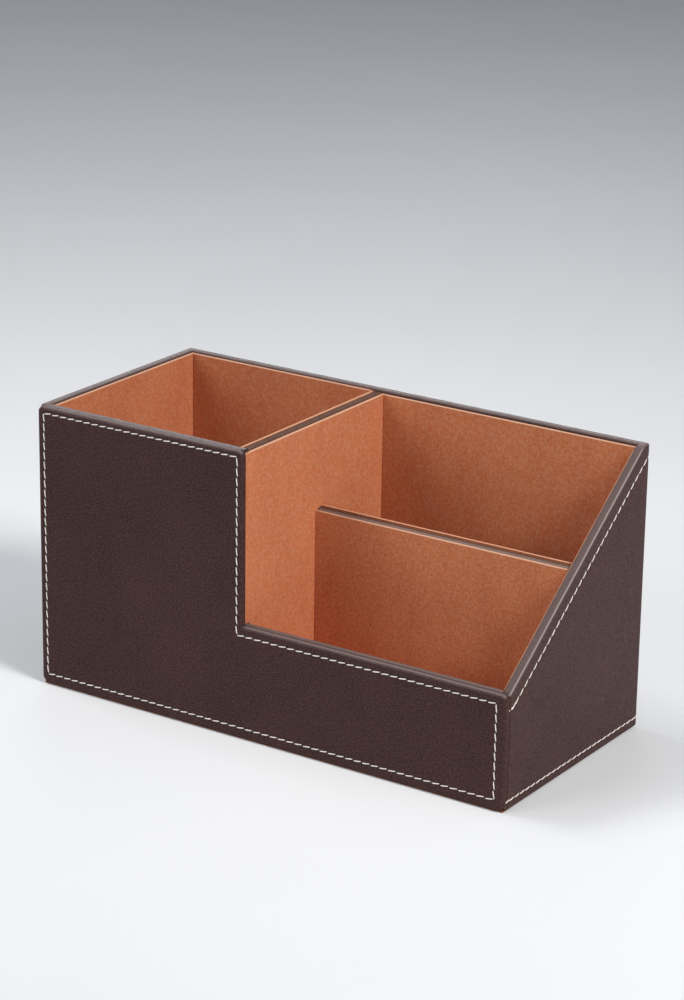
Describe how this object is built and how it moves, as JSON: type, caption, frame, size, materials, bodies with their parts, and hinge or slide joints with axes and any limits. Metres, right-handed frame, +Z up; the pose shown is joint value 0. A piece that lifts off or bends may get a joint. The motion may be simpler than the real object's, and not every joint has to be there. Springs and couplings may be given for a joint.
{
  "type": "desk organizer",
  "caption": "Open desk organizer in stitched dark leather: a tall square pen well beside a raked tray parted by a low divider, all lined with rust suede.",
  "frame": {"origin": "middle of the underside, at the base suede's lower face", "axes": "+X to the right along the front, the tall pen well at -X; +Y from the front to the back; +Z up"},
  "size_m": [0.215, 0.1, 0.116],
  "materials": {
    "leather": "very dark brown synthetic leather, fine grain, semi-matt",
    "suede": "rust-coloured velour suede, short nap",
    "base_suede": "rust-coloured suede sheet, matt",
    "board": "pressed grey-brown fibre board, matt",
    "thread": "cream waxed sewing thread, twisted"
  },
  "bodies": {
    "root": {"base_board": "board", "left_board": "board", "back_board": "board", "right_board": "board", "front_board": "board", "partition_board": "board", "divider_board": "board", "front_card": "board", "wrap_cover": "leather", "front_cover": "leather", "partition_strip": "leather", "divider_strip": "leather", "pen_lining_left": "suede", "pen_lining_back": "suede", "pen_lining_front": "suede", "pen_lining_right": "suede", "pen_floor_lining": "suede", "bay_lining_partition": "suede", "bay_lining_back": "suede", "bay_lining_right": "suede", "bay_lining_front": "suede", "divider_lining_front": "suede", "divider_lining_rear": "suede", "front_bay_floor_lining": "suede", "rear_bay_floor_lining": "suede", "base_felt": "base_suede"}
  },
  "joints": []
}
